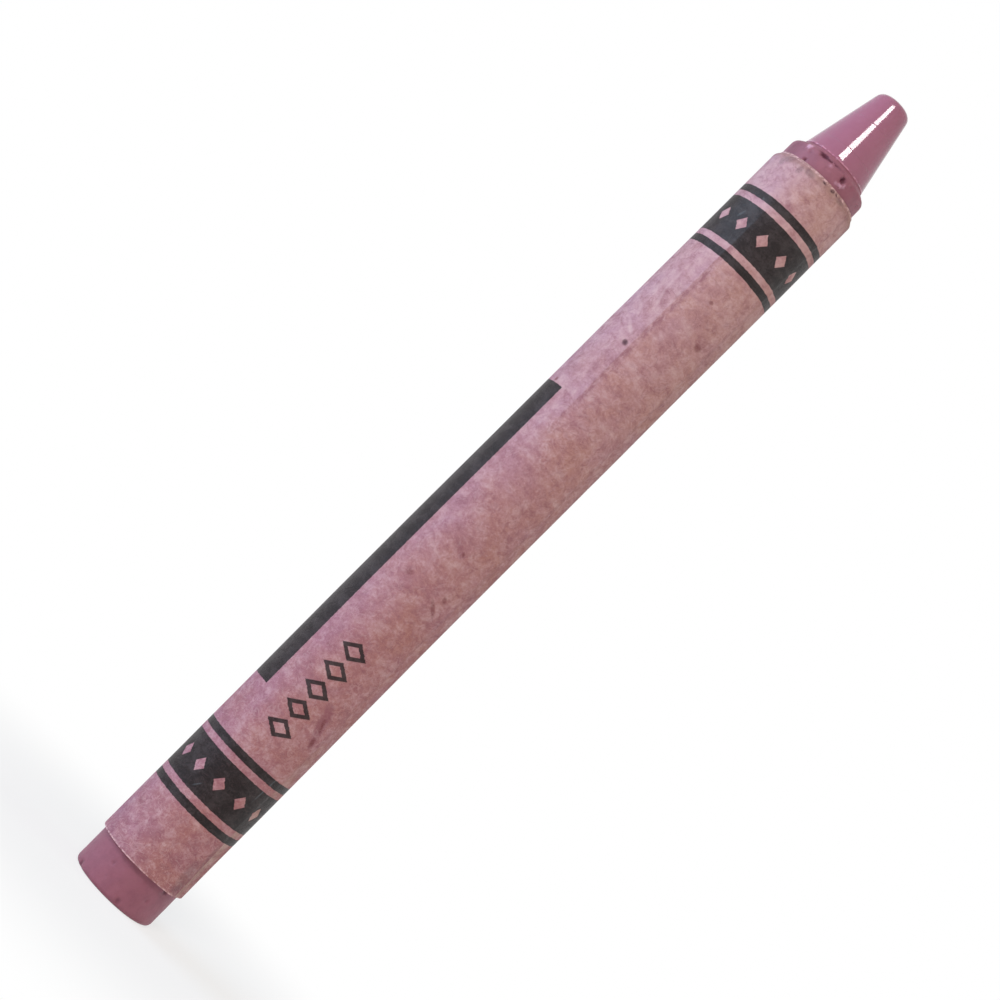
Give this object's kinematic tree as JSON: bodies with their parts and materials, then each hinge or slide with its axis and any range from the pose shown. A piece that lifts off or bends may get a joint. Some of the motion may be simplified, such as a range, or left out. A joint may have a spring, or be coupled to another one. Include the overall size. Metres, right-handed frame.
{
  "type": "wax crayon",
  "caption": "Cast wax crayon with a blunt conical point, a bare collar and butt, and a printed paper label wound round the barrel.",
  "frame": {"origin": "centre of the flat butt, on the surface that the crayon stands on", "axes": "+Z along the crayon's axis from the butt to the writing tip; -Y faces the viewer of the picture; +X is to the viewer's right when the tip points up"},
  "size_m": [0.0086, 0.0087, 0.089],
  "materials": {
    "wax": "moulded wax, glossy on the point and dull with small pits on the collar",
    "label_paper": "matt uncoated paper, mottled pink-lilac, with dark printed rings and stripes",
    "dried_paste": "dull dried starch paste"
  },
  "bodies": {
    "root": {"wax_stick": "wax", "label": "label_paper", "paste_film": "dried_paste"}
  },
  "joints": []
}
